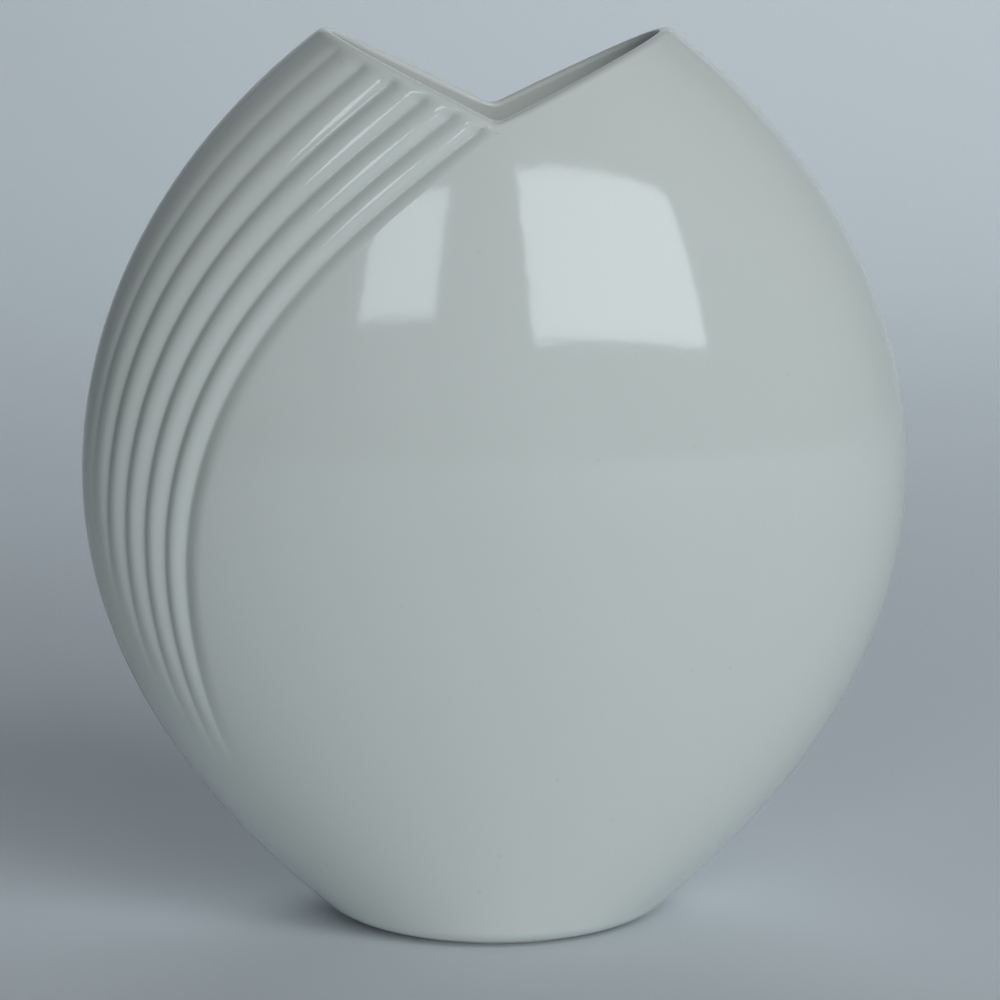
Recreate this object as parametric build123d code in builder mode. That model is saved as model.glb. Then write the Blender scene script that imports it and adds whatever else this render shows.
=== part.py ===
"""Pillow vase in white glazed porcelain: a flattened body, a V-cut mouth and a fan of pleats.

Seven clay pieces are joined with slip before firing: a plain and a pleated panel on each face, which stand
on a floor slab, a rim that closes them at the mouth and a low ring under the floor.
Frame: +Z up, origin under the middle of the foot. Seen from the front, +X is right and +Y is away.
"""
import os
from math import cos, exp, radians, sin, sqrt

from build123d import *

os.makedirs("parts", exist_ok=True)

# Outline from the front: an arc from the foot out to the belly, and another in to the points of the rim
height = 200
belly_width = 184
belly_height = 100
foot_width = 69
mouth_width = 75.5

# Outline from the side, drawn the same way
belly_depth = 86
belly_depth_height = 85
foot_depth = 64
mouth_depth = 42

# The walls, all of one thickness, and the V of the mouth across the width, lowest in the middle
wall = 4
valley_drop = 19
valley_round = 4
rim_band = 2.5
lip_round = 0.9

# The pleats: rounded reeds from the lap groove round to the mould seam, dying out towards the foot
pleat_count = 7
groove_depth = 1.5
pleat_spread = 0.75
lap_angle = 36
lap_top_angle = 88
lap_sweep = 41.5
lap_roll = 4
fade_start = 36
fade_step = 2
fade_length = 45
rim_fade = 5

# The floor slab and the bare ring that the vase stands on
floor_thickness = 6
floor_round = 3
foot_rise = 1
foot_inset = 4
foot_ring_width = 6
foot_round = 0.6

# Horizontal sections through the body, closer together towards the rim, where they run on to be cut off
section_count = 30
section_crowding = 1.3
floor_top = foot_rise + floor_thickness
loft_top = height + wall

# Share of a quarter ellipse that each arc of the outline takes up, below and above the belly
flank_share = 0.6
shoulder_share = 0.72


def flank(z, foot, belly, belly_level, mouth):
    """Half a breadth of the body at a height: an elliptical arc each way from the belly."""
    if z > belly_level:
        end, reach, share = mouth, height - belly_level, shoulder_share
    else:
        end, reach, share = foot, belly_level, flank_share
    turn = share * (z - belly_level) / reach
    drop = (1 - sqrt(1 - turn**2)) / (1 - sqrt(1 - share**2))
    return (belly - (belly - end) * drop) / 2


def half_width(z):
    """Half the body's width at a height."""
    return flank(z, foot_width, belly_width, belly_height, mouth_width)


def half_depth(z):
    """Half the body's depth at a height."""
    return flank(z, foot_depth, belly_depth, belly_depth_height, mouth_depth)


def on_body(angle, z, sink=0.0):
    """Point of the section at an angle from the left seam towards the front, sunk below the skin."""
    turn = radians(angle)
    return (-(half_width(z) - sink) * cos(turn), -(half_depth(z) - sink) * sin(turn))


def rim_height(x):
    """Height of the mouth's V at a place across the width."""
    return height - valley_drop * (1 - abs(x) / (mouth_width / 2))


def ease(share):
    """A smooth step from 0 to 1."""
    share = min(max(share, 0), 1)
    return share * share * (3 - 2 * share)


def lap(z):
    """Angle of the lap groove, which climbs from the flank to just beside the middle of the rim."""
    below_valley = height - valley_drop - z
    return lap_angle + (lap_top_angle - lap_angle) * exp(-below_valley / lap_sweep)


def groove_angle(k, z):
    """Angle of groove k, from 0 at the lap to pleat_count at the seam."""
    share = k / pleat_count
    return lap(z) * (1 - share * (pleat_spread + (1 - pleat_spread) * share))


def groove(k, z):
    """Bottom of groove k: shallower near the seam, the rim and its own lower end."""
    angle = groove_angle(k, z)
    below_rim = rim_height(on_body(angle, z)[0]) - rim_band - z
    strength = ease((z - fade_start - fade_step * k**2) / fade_length) * ease(below_rim / rim_fade)
    return on_body(angle, z, groove_depth * strength * (1 - (k / pleat_count) ** 3))


def crest(k, z):
    """Top of the pleat between grooves k and k + 1, level with the body's skin."""
    return on_body((groove_angle(k, z) + groove_angle(k + 1, z)) / 2, z)


def above_mouth(drop):
    """All that lies above the V of the mouth, or above the same V lowered by drop."""
    with BuildPart() as space:
        with BuildSketch(Plane.XZ):
            with BuildLine():
                side = belly_width / 2
                low, high = rim_height(0) - drop, rim_height(side) - drop
                Polyline((0, low), (side, high), (side, 2 * high), (-side, 2 * high), (-side, high), close=True)
            make_face()
            fillet(vertices().sort_by(Axis.Y)[0], valley_round)
        extrude(amount=belly_depth, both=True)
    return space.part


mouth_space = above_mouth(0)
rim_space = above_mouth(rim_band)
sections = [
    loft_top - (loft_top - floor_top) * (1 - step / section_count) ** section_crowding
    for step in range(section_count + 1)
]
rim_sections = [z for z in sections if z > belly_height]

# Ring that the vase stands on, left bare of glaze
with BuildPart() as foot_ring:
    with BuildSketch():
        Ellipse(foot_width / 2 - foot_inset, foot_depth / 2 - foot_inset)
        inset = foot_inset + foot_ring_width
        Ellipse(foot_width / 2 - inset, foot_depth / 2 - inset, mode=Mode.SUBTRACT)
    extrude(amount=foot_rise)
    fillet(edges().group_by(Axis.Z)[0], min(foot_round, foot_rise / 2))
foot_ring.part.label = "foot_ring"
export_step(foot_ring.part, "parts/foot_ring.step")

# Floor slab, with a rounded lower edge: its top is the inside of the vase, and the panels stand on its border
with BuildPart() as floor:
    for z in (foot_rise, floor_top):
        with BuildSketch(Plane.XY.offset(z)):
            Ellipse(half_width(z), half_depth(z))
    loft()
    fillet(edges().group_by(Axis.Z)[0], min(floor_round, floor_thickness / 2))
floor.part.label = "floor"
export_step(floor.part, "parts/floor.step")

# Plain front panel: rolls into the lap groove on the left and ends at the mould seam on the right
with BuildPart() as front_wall:
    for z in sections:
        roll = lap(z) + lap_roll
        inner = (half_width(z) - wall, half_depth(z) - wall)
        with BuildSketch(Plane.XY.offset(z)):
            with BuildLine():
                Line(groove(0, z), on_body(roll, z))
                EllipticalCenterArc((0, 0), half_width(z), half_depth(z), 180 + roll, arc_size=180 - roll)
                Line((half_width(z), 0), (inner[0], 0))
                EllipticalCenterArc((0, 0), *inner, 360, arc_size=lap(z) - 180)
                Line(on_body(lap(z), z, wall), groove(0, z))
            make_face()
    loft()
    add(rim_space, mode=Mode.SUBTRACT)
front_wall.part.label = "front_wall"
export_step(front_wall.part, "parts/front_wall.step")

# Pleated front panel: a fan of reeds that hangs from the rim and butts against the plain panel at the lap
with BuildPart() as front_pleats:
    for z in sections:
        inner = (half_width(z) - wall, half_depth(z) - wall)
        with BuildSketch(Plane.XY.offset(z)):
            with BuildLine():
                for k in range(pleat_count):
                    ThreePointArc(groove(k, z), crest(k, z), groove(k + 1, z))
                Line((-half_width(z), 0), (-inner[0], 0))
                EllipticalCenterArc((0, 0), *inner, 180, arc_size=lap(z))
                Line(on_body(lap(z), z, wall), groove(0, z))
            make_face()
    loft()
    add(rim_space, mode=Mode.SUBTRACT)
front_pleats.part.label = "front_pleats"
export_step(front_pleats.part, "parts/front_pleats.step")

# The back is the front turned half round, so the vase looks the same from either side
with BuildPart() as back_wall:
    add(front_wall.part, rotation=(0, 0, 180))
back_wall.part.label = "back_wall"
export_step(back_wall.part, "parts/back_wall.step")

with BuildPart() as back_pleats:
    add(front_pleats.part, rotation=(0, 0, 180))
back_pleats.part.label = "back_pleats"
export_step(back_pleats.part, "parts/back_pleats.step")

# Rim: a plain band round the mouth, with a rounded lip, that ties the four panels together
with BuildPart() as rim:
    for z in rim_sections:
        with BuildSketch(Plane.XY.offset(z)):
            Ellipse(half_width(z), half_depth(z))
    loft()
    for z in rim_sections:
        with BuildSketch(Plane.XY.offset(z)):
            Ellipse(half_width(z) - wall, half_depth(z) - wall)
    loft(mode=Mode.SUBTRACT)
    add(rim_space, mode=Mode.INTERSECT)
    add(mouth_space, mode=Mode.SUBTRACT)
    lip = faces().filter_by(lambda face: face.geom_type != GeomType.BSPLINE and face.normal_at().Z > 0)
    fillet(lip.edges().filter_by(GeomType.BSPLINE), min(lip_round, wall / 4))
rim.part.label = "rim"
export_step(rim.part, "parts/rim.step")
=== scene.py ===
from math import pi, radians

import bpy
import numpy as np
from mathutils import Matrix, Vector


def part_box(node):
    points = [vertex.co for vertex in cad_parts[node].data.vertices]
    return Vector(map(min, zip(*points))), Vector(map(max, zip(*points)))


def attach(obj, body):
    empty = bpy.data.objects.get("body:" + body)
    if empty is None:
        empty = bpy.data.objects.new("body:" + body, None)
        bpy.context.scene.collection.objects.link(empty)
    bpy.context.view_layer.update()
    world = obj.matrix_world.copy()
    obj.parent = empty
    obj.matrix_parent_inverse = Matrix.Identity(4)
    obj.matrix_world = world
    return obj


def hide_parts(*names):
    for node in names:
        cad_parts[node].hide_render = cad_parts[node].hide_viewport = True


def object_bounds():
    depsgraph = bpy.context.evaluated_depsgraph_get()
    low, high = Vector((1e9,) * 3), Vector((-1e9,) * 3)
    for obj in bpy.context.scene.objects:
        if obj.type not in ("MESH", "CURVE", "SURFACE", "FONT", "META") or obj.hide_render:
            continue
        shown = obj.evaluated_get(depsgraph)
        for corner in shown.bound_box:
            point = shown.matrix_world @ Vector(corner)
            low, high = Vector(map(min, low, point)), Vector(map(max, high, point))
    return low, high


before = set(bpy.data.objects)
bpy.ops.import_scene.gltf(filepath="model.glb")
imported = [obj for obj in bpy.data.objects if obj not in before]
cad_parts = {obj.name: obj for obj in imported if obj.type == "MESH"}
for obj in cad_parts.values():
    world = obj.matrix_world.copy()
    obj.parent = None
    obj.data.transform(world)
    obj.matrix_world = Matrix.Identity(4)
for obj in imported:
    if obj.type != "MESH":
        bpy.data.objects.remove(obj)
cad_low, cad_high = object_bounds()


# Foot ring: the low oval ring under the floor that the pot stands on, trimmed when the clay is leather-hard.
# Bare porcelain, wiped clean of glaze so that it can't stick to the kiln shelf: matt, warm, faintly sandy.
def add_node(tree, kind, inputs=(), **settings):
    """Adds a shader node. Each input gets a plain value, or a link from another node's output."""
    node = tree.nodes.new("ShaderNode" + kind)
    for name, value in settings.items():
        setattr(node, name, value)
    for name, value in dict(inputs).items():
        if isinstance(value, bpy.types.NodeSocket):
            tree.links.new(value, node.inputs[name])
        else:
            node.inputs[name].default_value = value
    return node


def tint(tree, share, ground, over):
    """Lays one colour over another by a share, and gives the mixed colour's socket."""
    colour_a, colour_b, colour_out = 6, 7, 2
    mix = add_node(tree, "Mix", {"Factor": share, colour_a: ground, colour_b: over}, data_type="RGBA")
    return mix.outputs[colour_out]


def finish_mesh(name):
    """Turns the faces of the mesh in hand outwards, leaves edit mode and names the piece."""
    bpy.ops.mesh.select_all(action="SELECT")
    bpy.ops.mesh.normals_make_consistent(inside=False)
    bpy.ops.object.mode_set(mode="OBJECT")
    piece = bpy.context.object
    piece.name = piece.data.name = name
    return piece


# Marks of the kiln, which bare clay shows and glaze shows through: slow clouds of tone, sparse iron specks
# and a fine ripple of the surface.
kiln_marks = bpy.data.node_groups.new("kiln_marks", "ShaderNodeTree")
for name, per_metre in {"Cloud Scale": 18, "Speck Scale": 260, "Ripple Scale": 420}.items():
    socket = kiln_marks.interface.new_socket(name, in_out="INPUT", socket_type="NodeSocketFloat")
    socket.default_value = per_metre
for name in ("Cloud", "Specks", "Ripple"):
    kiln_marks.interface.new_socket(name, in_out="OUTPUT", socket_type="NodeSocketFloat")
sizes = kiln_marks.nodes.new("NodeGroupInput").outputs
marks = kiln_marks.nodes.new("NodeGroupOutput").inputs
place = add_node(kiln_marks, "TexCoord").outputs["Object"]
cloud = add_node(kiln_marks, "TexNoise", {"Vector": place, "Scale": sizes["Cloud Scale"], "Detail": 3})
cells = add_node(kiln_marks, "TexVoronoi", {"Vector": place, "Scale": sizes["Speck Scale"]})
speck = add_node(
    kiln_marks, "MapRange",
    {"Value": cells.outputs["Distance"], "From Min": 0.05, "From Max": 0.16, "To Min": 1, "To Max": 0})
chance = add_node(kiln_marks, "SeparateColor", {"Color": cells.outputs["Color"]})
chosen = add_node(kiln_marks, "Math", {0: chance.outputs["Red"], 1: 0.93}, operation="GREATER_THAN")
specks = add_node(
    kiln_marks, "Math", {0: speck.outputs["Result"], 1: chosen.outputs[0]}, operation="MULTIPLY")
ripple = add_node(kiln_marks, "TexNoise", {"Vector": place, "Scale": sizes["Ripple Scale"], "Detail": 1})
kiln_marks.links.new(cloud.outputs["Fac"], marks["Cloud"])
kiln_marks.links.new(specks.outputs[0], marks["Specks"])
kiln_marks.links.new(ripple.outputs["Fac"], marks["Ripple"])

ring_width, ring_round = 0.006, 0.0005
ring_steps, round_steps = 192, 4
ring_crease = radians(50)
ring_x, ring_y, ring_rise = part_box("foot_ring")[1]
bpy.ops.mesh.primitive_circle_add(vertices=ring_steps, radius=1, enter_editmode=True)
bpy.ops.transform.resize(value=(ring_x, ring_y, 1))
bpy.ops.mesh.extrude_edges_move()
bpy.ops.transform.resize(value=(1 - ring_width / ring_x, 1 - ring_width / ring_y, 1))
bpy.ops.mesh.select_all(action="SELECT")
bpy.ops.mesh.extrude_region_move(TRANSFORM_OT_translate={"value": (0, 0, ring_rise)})
bpy.ops.mesh.select_all(action="INVERT")
bpy.ops.mesh.region_to_loop()
bpy.ops.mesh.bevel(offset=ring_round, segments=round_steps)
foot_ring = finish_mesh("foot_ring_bare")
bpy.ops.object.shade_smooth_by_angle(angle=ring_crease)

bare_clay = bpy.data.materials.new("bare_clay")
bare_clay.use_nodes = True
clay = bare_clay.node_tree
clay_surface = clay.nodes["Principled BSDF"]
clay_marks = add_node(clay, "Group", {"Cloud Scale": 90, "Ripple Scale": 2400}, node_tree=kiln_marks)
clay_tone = tint(clay, clay_marks.outputs["Cloud"], (0.70, 0.65, 0.57, 1), (0.82, 0.78, 0.71, 1))
clay_specked = tint(clay, clay_marks.outputs["Specks"], clay_tone, (0.30, 0.22, 0.16, 1))
clay_grit = add_node(
    clay, "Bump", {"Height": clay_marks.outputs["Ripple"], "Strength": 0.5, "Distance": 0.0002})
clay.links.new(clay_specked, clay_surface.inputs["Base Color"])
clay.links.new(clay_grit.outputs["Normal"], clay_surface.inputs["Normal"])
clay_surface.inputs["Roughness"].default_value = 0.85
foot_ring.data.materials.append(bare_clay)
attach(foot_ring, "root")
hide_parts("foot_ring")


# Floor: the oval slab that closes the pot below, rolled out flat, with a rounded lower edge.
# White porcelain under the same clear glaze as the walls, which are joined to its border with slip.
pot_height, valley_drop = 0.200, 0.019
belly_width, belly_level = cad_high.x - cad_low.x, 0.100
belly_depth, depth_level = cad_high.y - cad_low.y, 0.085
foot_width, mouth_width = 0.069, 0.0755
foot_depth, mouth_depth = 0.064, 0.042
flank_share, shoulder_share = 0.6, 0.72


def flank(z, foot, belly, level, mouth):
    """Half a breadth of the pot at a height: an elliptical arc each way from the belly."""
    end = np.where(z > level, mouth, foot)
    share = np.where(z > level, shoulder_share, flank_share)
    turn = share * (z - level) / np.where(z > level, pot_height - level, level)
    drop = (1 - np.sqrt(1 - turn**2)) / (1 - np.sqrt(1 - share**2))
    return (belly - (belly - end) * drop) / 2


def on_pot(angle, z, sink=0.0):
    """Points of the pot at an angle from the left seam towards the front, sunk below the skin."""
    across = flank(z, foot_width, belly_width, belly_level, mouth_width) - sink
    through = flank(z, foot_depth, belly_depth, depth_level, mouth_depth) - sink
    return np.stack((-across * np.cos(angle), -through * np.sin(angle), z), -1)


# Columns of points that the floor, the panels and the rim share, so that their edges meet point on point
pleat_count, pleat_spread = 7, 0.75
pleat_columns, roll_columns, plain_columns = 16, 14, 96
groove_crowding, roll_crowding = 0.5, 1.4
lap_column = pleat_count * pleat_columns
seam_column = lap_column + roll_columns + plain_columns
column_count = 2 * seam_column
lap_low, lap_top, lap_roll = radians(36), radians(88), radians(4)
lap_end, lap_sweep = pot_height - valley_drop, 0.0415


def lap(z):
    """Angle of the lap, which climbs from the flank to just beside the middle of the rim."""
    return lap_low + (lap_top - lap_low) * np.exp((z - lap_end) / lap_sweep)


def groove_place(column):
    """Place of a column among the pleats, in pleats from the lap, crowded towards the grooves."""
    pleats = np.clip((lap_column - column) / pleat_columns, 0, pleat_count)
    return pleats - groove_crowding * np.sin(2 * pi * pleats) / (2 * pi)


def roll_place(column):
    """Place of a column across the plain panel's rolled edge, from 0 at the lap to 1."""
    return np.clip((column - lap_column) / roll_columns, 0, 1) ** roll_crowding


def column_angle(column, z):
    """Angle of a column of the front half: pleats from the left seam to the lap, then plain skin."""
    share = groove_place(column) / pleat_count
    pleated = lap(z) * (1 - share * (pleat_spread + (1 - pleat_spread) * share))
    rolled = lap(z) + lap_roll * roll_place(column)
    plain = np.clip((column - lap_column - roll_columns) / plain_columns, 0, 1)
    return np.where(column < lap_column, pleated, rolled + (pi - lap(z) - lap_roll) * plain)


def read_points(piece):
    """The piece's vertices as rows of x, y and z."""
    points = np.empty(3 * len(piece.data.vertices), np.float32)
    piece.data.vertices.foreach_get("co", points)
    return points.reshape(-1, 3).astype(float)


def move_points(piece, points):
    """Puts the piece's vertices in their places."""
    piece.data.vertices.foreach_set("co", points.astype(np.float32).ravel())
    piece.data.update()


def nearest_column(blank):
    """Column that each point of a round blank stands for, by its turn about the middle."""
    turn = np.arctan2(blank[:, 1], blank[:, 0]) / (2 * pi)
    return np.rint(turn * column_count).astype(int) % column_count


floor_round, floor_crease = 0.003, radians(40)
edge_steps, side_steps = 8, 6
floor_low, floor_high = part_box("floor")
turns = np.linspace(0, pi / 2, edge_steps + 1)
levels = np.concatenate((
    floor_low.z + floor_round * (1 - np.cos(turns)),
    np.linspace(floor_low.z + floor_round, floor_high.z, side_steps + 1)[1:]))
insets = np.concatenate((floor_round * (1 - np.sin(turns)), np.zeros(side_steps)))
bpy.ops.mesh.primitive_circle_add(vertices=column_count, radius=1, fill_type="NGON", enter_editmode=True)
for _ in levels[1:]:
    bpy.ops.mesh.extrude_region_move(TRANSFORM_OT_translate={"value": (0, 0, 1)})
floor = finish_mesh("floor_glazed")
disc = read_points(floor)
step = np.rint(disc[:, 2]).astype(int)
column = nearest_column(disc)
angle = column_angle(column % seam_column, levels[step]) + pi * (column >= seam_column)
move_points(floor, on_pot(angle, levels[step], insets[step]))
bpy.ops.object.shade_smooth_by_angle(angle=floor_crease)

white_glaze = bpy.data.materials.new("white_glaze")
white_glaze.use_nodes = True
glaze = white_glaze.node_tree
glaze_surface = glaze.nodes["Principled BSDF"]
glaze_marks = add_node(
    glaze, "Group", {"Cloud Scale": 14, "Speck Scale": 240, "Ripple Scale": 300}, node_tree=kiln_marks)
pool_and_shade = add_node(glaze, "Attribute", attribute_name="groove_pool_and_shade")
lightened_inside = add_node(glaze, "Attribute", attribute_name="inside_painted_light")
glaze_thin = tint(glaze, glaze_marks.outputs["Cloud"], (0.745, 0.785, 0.745, 1), (0.785, 0.815, 0.780, 1))
# Painted light: the inside of the pot takes a paler tone, as if more light reached it
glaze_tone = tint(glaze, lightened_inside.outputs["Fac"], glaze_thin, (0.90, 0.925, 0.885, 1))
# Painted shade: the grooves darken with their depth, together with a faint tint of pooled glaze
pool_and_shade_share = add_node(glaze, "Math", {0: pool_and_shade.outputs["Fac"], 1: 0.7}, operation="MULTIPLY")
glaze_pooled_and_shaded = tint(glaze, pool_and_shade_share.outputs[0], glaze_tone, (0.60, 0.645, 0.61, 1))
speck_share = add_node(glaze, "Math", {0: glaze_marks.outputs["Specks"], 1: 0.12}, operation="MULTIPLY")
glaze_specked = tint(glaze, speck_share.outputs[0], glaze_pooled_and_shaded, (0.42, 0.40, 0.34, 1))
glaze_gloss = add_node(
    glaze, "MapRange", {
        "Value": glaze_marks.outputs["Cloud"],
        "From Min": 0.3, "From Max": 0.7, "To Min": 0.05, "To Max": 0.09})
glaze_ripple = add_node(
    glaze, "Bump", {"Height": glaze_marks.outputs["Ripple"], "Strength": 0.05, "Distance": 0.0003})
glaze.links.new(glaze_specked, glaze_surface.inputs["Base Color"])
glaze.links.new(glaze_gloss.outputs["Result"], glaze_surface.inputs["Roughness"])
glaze.links.new(glaze_ripple.outputs["Normal"], glaze_surface.inputs["Normal"])
glaze_surface.inputs["IOR"].default_value = 1.52
floor.data.materials.append(white_glaze)
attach(floor, "root")
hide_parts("floor")


# Panels: a pleated and a plain one make each face of the pot, pressed in a mould and joined with slip at the
# side seams and the lap. White porcelain under a glossy glaze, tinted darker in the grooves as a glaze pool
# with painted shade, and made paler inside with painted light. The back pair is the front pair turned half
# round.
wall, rim_band = 0.004, 0.0025
valley_round = 0.004
fade_start, fade_step, fade_length = 0.036, 0.002, 0.045
tip_gap, tip_length = 0.0006, 0.0042
tip_centre, tip_bead = 0.0022, 0.00015
panel_rows, row_crowding = 190, 1.25
settling_rounds = 40

# The grooves' depth in metres, and what is counted in pleats: the glaze's rounding of a groove, and where the
# pleats have gone flat beside the seam
groove_depth = 0.0015
groove_round = 0.08
seam_flat, seam_fade = 6.8, 4.2


def ease(share):
    """A smooth step from 0 to 1."""
    share = np.clip(share, 0, 1)
    return share * share * (3 - 2 * share)


def mouth_height(x):
    """Height of the mouth's V at a place across the width, with its valley rounded."""
    slope = valley_drop / (mouth_width / 2)
    steep = np.sqrt(1 + slope**2)
    bottom = pot_height - valley_drop
    curve = bottom + valley_round * (steep - np.sqrt(np.clip(1 - (x / valley_round) ** 2, 0, 1)))
    return np.where(np.abs(x) < valley_round * slope / steep, curve, bottom + slope * np.abs(x))


def mouth_level(column, drop, sink):
    """Height at which a column meets the mouth's V, or the same V lowered by drop."""
    z = np.full(np.shape(column), pot_height)
    for _ in range(settling_rounds):
        z = mouth_height(on_pot(column_angle(column, z), z, sink)[..., 0]) - drop
    return z


def groove_sink(column, z):
    """How deep a column lies below the plain skin: pleats that die out below, at the seam and at the lip."""
    place = groove_place(column)
    across = np.where(column < lap_column, place, roll_place(column) / 2)
    from_groove = np.abs(across - np.rint(across))
    profile = np.maximum(1 - 2 * np.hypot(from_groove, groove_round), 0) ** 2
    profile = np.where(column < lap_column + roll_columns, profile, 0)
    deepening = ease((z - fade_start - fade_step * place**2) / fade_length)
    flattening = ease((seam_flat - place) / seam_fade)
    below_lip = mouth_height(on_pot(column_angle(column, z), z)[..., 0]) - z
    tip = ease(1 - np.abs(below_lip - tip_centre) / tip_centre)
    bead = np.where(column < lap_column, (1 - profile) * tip, 0)
    groove = groove_depth * profile * deepening * ease((below_lip - tip_gap) / tip_length)
    return (groove - tip_bead * bead) * flattening


def on_panel(column, row, outside):
    """Points of a panel from its foot (row 0) to the rim (row 1), on its outer or inner side."""
    top = mouth_level(column, rim_band, np.where(outside, 0, wall))
    z = floor_high.z + (top - floor_high.z) * (1 - (1 - row) ** row_crowding)
    sink = np.where(outside, groove_sink(column, z), wall)
    return on_pot(column_angle(column, z), z, sink)


def mark_points(piece, mark, shares):
    """Gives each of the piece's vertices a share from 0 to 1, which the glaze reads."""
    marked = piece.data.attributes.new(mark, "FLOAT", "POINT")
    marked.data.foreach_set("value", shares.astype(np.float32))


def make_panel(name, first, last):
    """Wraps a slab of clay onto the pot between two columns and glazes it."""
    bpy.ops.mesh.primitive_grid_add(
        x_subdivisions=last - first, y_subdivisions=panel_rows, size=1, enter_editmode=True)
    bpy.ops.mesh.extrude_region_move(TRANSFORM_OT_translate={"value": (0, 0, 1)})
    panel = finish_mesh(name + "_glazed")
    slab = read_points(panel)
    column = first + np.rint((slab[:, 0] + 0.5) * (last - first))
    row = np.rint((slab[:, 1] + 0.5) * panel_rows) / panel_rows
    outside = slab[:, 2] > 0.5
    placed = on_panel(column, row, outside)
    move_points(panel, placed)

    # The glaze takes its normals from the formula, and the faces at the joints are flat
    nudge = 0.02
    left, right = np.maximum(column - nudge, first), np.minimum(column + nudge, last)
    below, above = np.maximum(row - nudge / panel_rows, 0), np.minimum(row + nudge / panel_rows, 1)
    sideways = on_panel(right, row, outside) - on_panel(left, row, outside)
    upwards = on_panel(column, above, outside) - on_panel(column, below, outside)
    skin = np.cross(sideways, upwards)
    skin *= np.where(outside, 1, -1)[:, None] / np.linalg.norm(skin, axis=1)[:, None]
    corners = np.empty(len(panel.data.loops), int)
    panel.data.loops.foreach_get("vertex_index", corners)
    corners = corners.reshape(-1, 4)
    joint_face = outside[corners].any(1) & ~outside[corners].all(1)
    panel.data.polygons.foreach_set("use_smooth", ~joint_face)
    corner_normals = skin[corners]
    corner_normals[joint_face] = 0
    panel.data.normals_split_custom_set(corner_normals.reshape(-1, 3).tolist())

    # Painted shade with a pool tint, by how deep each point lies in a groove
    sunk = np.maximum(groove_sink(column, placed[:, 2]), 0)
    mark_points(panel, "groove_pool_and_shade", np.where(outside, sunk / groove_depth, 0))
    # Painted light: the inner side is marked for the paler tone
    mark_points(panel, "inside_painted_light", np.where(outside, 0, 1))
    panel.data.materials.append(white_glaze)
    return panel


for panel_name, first, last in (("pleats", 0, lap_column), ("wall", lap_column, seam_column)):
    front_panel = make_panel("front_" + panel_name, first, last)
    bpy.ops.object.duplicate()
    back_panel = bpy.context.object
    back_panel.name = back_panel.data.name = "back_" + panel_name + "_glazed"
    back_panel.data.transform(Matrix.Rotation(pi, 4, "Z"))
    for side, panel in (("front_", front_panel), ("back_", back_panel)):
        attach(panel, "root")
        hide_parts(side + panel_name)


# Rim: the band round the V of the mouth that ties the panels together, sponged wet to a round lip.
# The same white porcelain and glaze, whose tone turns over the lip from the outer one to the paler inner one,
# which is painted light.
lip_across, lip_down = 0.40, 0.62
side_points, lip_points, top_points, under_points = 6, 9, 3, 5
rim_crease = radians(50)

# Once round the band's section: up the outside, over the lip, down the inside and back underneath
quarter = np.linspace(0, pi / 2, lip_points)
across = np.concatenate((
    np.zeros(side_points),
    lip_across * (1 - np.cos(quarter)),
    np.linspace(lip_across, 1 - lip_across, top_points + 2)[1:-1],
    1 - lip_across * (1 - np.sin(quarter)),
    np.ones(side_points),
    np.linspace(1, 0, under_points + 2)[1:-1]))
along = np.concatenate((
    np.linspace(0, 1 - lip_down, side_points + 1)[:-1],
    1 - lip_down * (1 - np.sin(quarter)),
    np.ones(top_points),
    1 - lip_down * (1 - np.cos(quarter)),
    np.linspace(1 - lip_down, 0, side_points + 1)[1:],
    np.zeros(under_points)))
bpy.ops.mesh.primitive_torus_add(
    major_segments=column_count, minor_segments=len(across), major_radius=1, minor_radius=0.25)
rim = bpy.context.object
torus = read_points(rim)
column = nearest_column(torus)
around = np.arctan2(torus[:, 2], np.hypot(torus[:, 0], torus[:, 1]) - 1)
point = np.rint(around / (2 * pi) * len(across)).astype(int) % len(across)
inward, upward = across[point], along[point]
rim_column = column % seam_column
low_out, high_out = mouth_level(rim_column, rim_band, 0), mouth_level(rim_column, 0, 0)
low_in, high_in = mouth_level(rim_column, rim_band, wall), mouth_level(rim_column, 0, wall)
z_out = low_out + (high_out - low_out) * upward
z_in = low_in + (high_in - low_in) * upward
lip_out = on_pot(column_angle(rim_column, z_out), z_out, groove_sink(rim_column, z_out))
lip_in = on_pot(column_angle(rim_column, z_in), z_in, wall)
placed = lip_out + (lip_in - lip_out) * inward[:, None]
placed[:, :2] *= np.where(column < seam_column, 1, -1)[:, None]
move_points(rim, placed)
# Painted light: across the band the lip's tone turns to the paler inner one
mark_points(rim, "inside_painted_light", inward)
bpy.ops.object.mode_set(mode="EDIT")
finish_mesh("rim_glazed")
bpy.ops.object.shade_smooth_by_angle(angle=rim_crease)
rim.data.materials.append(white_glaze)
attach(rim, "root")
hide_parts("rim")


# Table: a plain sweep of pale board, whose floor curves up into a wall well behind the pot.
# Matt and slightly blue, in one piece, so that no edge shows behind the pot.
sweep_width, sweep_front, sweep_flat = 8, -4.2, 1.1
sweep_round, sweep_wall = 0.7, 2.0
sweep_rows = 96
bpy.ops.mesh.primitive_grid_add(x_subdivisions=1, y_subdivisions=sweep_rows, size=1)
table = bpy.context.object
table.name = table.data.name = "table"
sheet = read_points(table)
flat_length, bend_length = sweep_flat - sweep_front, sweep_round * pi / 2
travel = (sheet[:, 1] + 0.5) * (flat_length + bend_length + sweep_wall)
bend = np.clip((travel - flat_length) / sweep_round, 0, pi / 2)
sheet[:, 0] *= sweep_width
sheet[:, 1] = sweep_front + np.minimum(travel, flat_length) + sweep_round * np.sin(bend)
sheet[:, 2] = sweep_round * (1 - np.cos(bend)) + np.maximum(travel - flat_length - bend_length, 0)
move_points(table, sheet)
bpy.ops.object.shade_smooth()
pale_floor = bpy.data.materials.new("pale_floor")
pale_floor.use_nodes = True
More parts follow.
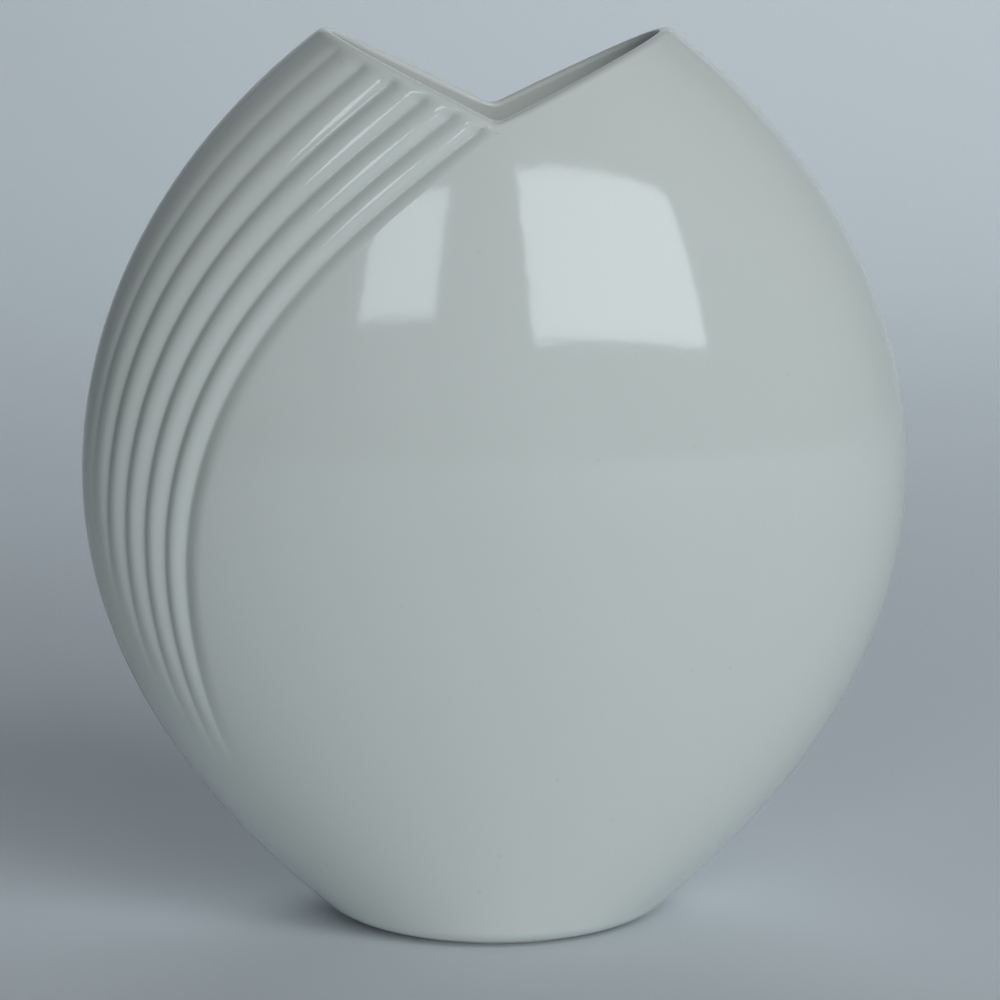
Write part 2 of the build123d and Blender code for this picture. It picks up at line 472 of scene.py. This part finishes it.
pale_surface = pale_floor.node_tree.nodes["Principled BSDF"]
pale_surface.inputs["Base Color"].default_value = (0.77, 0.815, 0.855, 1)
pale_surface.inputs["Roughness"].default_value = 0.6
table.data.materials.append(pale_floor)


# Studio light: a pair of large softboxes in front and above, which the glaze mirrors high on the front.
# A third from the right and a lamp over the sweep, which it doesn't mirror, and a faint glow low in front.
daylight = (0.94, 1.0, 1.03)
pot_middle, sweep_middle = np.array((0, 0, 0.12)), np.array((0.5, 1.3, 0))


def direction(azimuth, elevation):
    """The way from a point out into the room. Azimuth 0 is straight in front of it."""
    level = np.cos(elevation)
    return np.array((level * np.sin(azimuth), -level * np.cos(azimuth), np.sin(elevation)))


def add_softbox(name, aim, azimuth, elevation, distance, width, height, power, mirrored=True):
    """Hangs a rectangular softbox that faces a point. The glaze shows it only where it is mirrored."""
    lamp = bpy.data.lights.new(name, "AREA")
    lamp.shape, lamp.size, lamp.size_y = "RECTANGLE", width, height
    lamp.energy, lamp.color = power, daylight
    softbox = bpy.data.objects.new(name, lamp)
    bpy.context.scene.collection.objects.link(softbox)
    softbox.location = aim + direction(azimuth, elevation) * distance
    softbox.rotation_euler = (pi / 2 - elevation, 0, azimuth)
    softbox.visible_camera = False
    softbox.visible_glossy = mirrored


add_softbox(
    "left_box", pot_middle, azimuth=radians(-14.5), elevation=radians(18.7), distance=4,
    width=0.85, height=0.97, power=9)
add_softbox(
    "right_box", pot_middle, azimuth=radians(21), elevation=radians(18.8), distance=4,
    width=2.06, height=1.32, power=34)
add_softbox(
    "side_box", pot_middle, azimuth=radians(40), elevation=radians(35), distance=2.5,
    width=1.2, height=1.2, power=17.5, mirrored=False)
add_softbox(
    "sweep_lamp", sweep_middle, azimuth=0, elevation=radians(90), distance=1.1,
    width=2.0, height=0.8, power=6, mirrored=False)

glow_azimuth, glow_elevation = radians(10), radians(3)
glow_strength, glow_spread = 0.26, 12
world = bpy.data.worlds.new("studio")
bpy.context.scene.world = world
world.use_nodes = True
sky = world.node_tree
sight = add_node(sky, "TexCoord").outputs["Generated"]
toward = add_node(
    sky, "VectorMath", {0: sight, 1: direction(glow_azimuth, glow_elevation)}, operation="DOT_PRODUCT")
facing = add_node(sky, "Math", {0: toward.outputs["Value"], 1: 0}, operation="MAXIMUM")
glow = add_node(sky, "Math", {0: facing.outputs[0], 1: glow_spread}, operation="POWER")
glow_light = add_node(sky, "Math", {0: glow.outputs[0], 1: glow_strength}, operation="MULTIPLY")
sky.nodes["Background"].inputs["Color"].default_value = (0.95, 1.0, 1.02, 1)
sky.links.new(glow_light.outputs[0], sky.nodes["Background"].inputs["Strength"])
bpy.context.scene.view_settings.view_transform = "Standard"


# Camera: a little above the rim and slightly to the left, as the pot was photographed.
# It stands about four pot heights away, tipped down at the belly.
camera_distance, camera_height = 0.801, 0.246
camera_azimuth = radians(-1.44)
camera_pitch, camera_yaw = radians(10.70), radians(0.077)
camera = bpy.data.objects.new("camera", bpy.data.cameras.new("camera"))
bpy.context.scene.collection.objects.link(camera)
camera.data.lens = 131.2
camera.data.clip_start = 0.01
camera.location = (
    camera_distance * np.sin(camera_azimuth), -camera_distance * np.cos(camera_azimuth), camera_height)
camera.rotation_euler = (pi / 2 - camera_pitch, 0, camera_azimuth - camera_yaw)
bpy.context.scene.camera = camera
